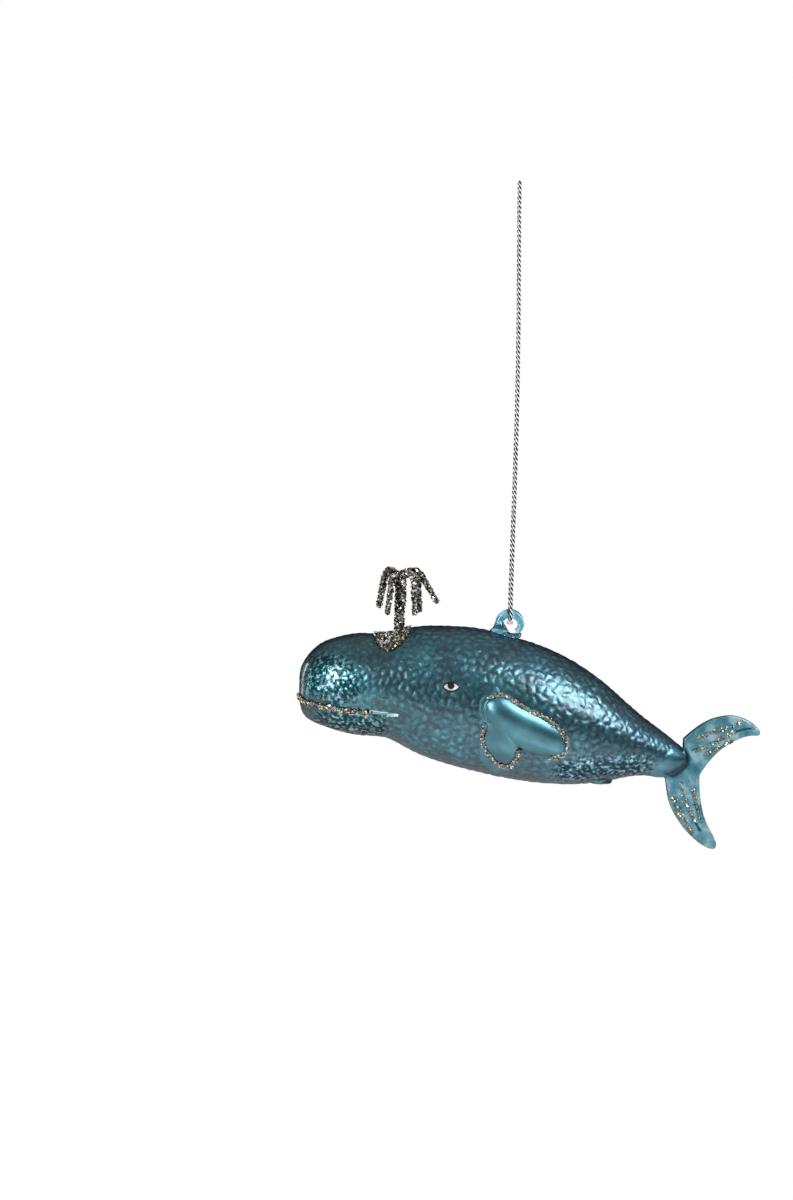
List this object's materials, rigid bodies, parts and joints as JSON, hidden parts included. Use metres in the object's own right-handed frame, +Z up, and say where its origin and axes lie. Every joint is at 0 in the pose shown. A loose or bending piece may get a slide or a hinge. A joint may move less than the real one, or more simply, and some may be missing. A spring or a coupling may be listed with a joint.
{
  "type": "hanging whale figurine",
  "caption": "Hollow blown-glass whale with moulded flippers, pressed glass flukes and a fountain of glittered wires, hung from its curled glass ring by a doubled metallic cord.",
  "frame": {"origin": "crown of the cord's top fold, where a hook or twig carries the ornament", "axes": "+Z up along the taut cord, -X towards the whale's nose, -Y towards its left flank"},
  "size_m": [0.1388, 0.0416, 0.1994],
  "materials": {
    "silvered_glass": "polished",
    "pressed_glass": "polished",
    "glitter": "satin",
    "glitter_wire": "satin",
    "white_enamel": "gloss",
    "black_enamel": "gloss",
    "metallic_cord": "satin"
  },
  "bodies": {
    "cord": {"cord_loop": "metallic_cord"},
    "foot": {"cord_foot": "metallic_cord", "cord_knot": "metallic_cord"},
    "whale": {"glass_body": "silvered_glass", "fluke_upper": "pressed_glass", "fluke_lower": "pressed_glass", "hanging_ring": "pressed_glass", "blowhole_glitter": "glitter", "mouth_glitter": "glitter", "flipper_glitter_left": "glitter", "flipper_glitter_right": "glitter", "fluke_upper_glitter": "glitter", "fluke_lower_glitter": "glitter", "spout_wire_1": "glitter_wire", "spout_wire_2": "glitter_wire", "spout_wire_3": "glitter_wire", "spout_wire_4": "glitter_wire", "spout_wire_5": "glitter_wire", "spout_wire_6": "glitter_wire", "spout_wire_7": "glitter_wire", "eye_white_left": "white_enamel", "eye_white_right": "white_enamel", "eye_line_left": "black_enamel", "eye_line_right": "black_enamel", "eye_pupil_left": "black_enamel", "eye_pupil_right": "black_enamel"}
  },
  "joints": [
    {"name": "twirl", "type": "hinge", "parent": "cord", "child": "foot", "pos_m": [0, 0, -0.1323], "axis": [0, 0, 1], "range_deg": [-180, 180], "stiffness_Nm_per_rad": 0.00001},
    {"name": "tilt", "type": "hinge", "parent": "foot", "child": "whale", "pos_m": [0, 0, -0.1323], "axis": [0, 1, 0], "range_deg": [-25, 25]}
  ]
}
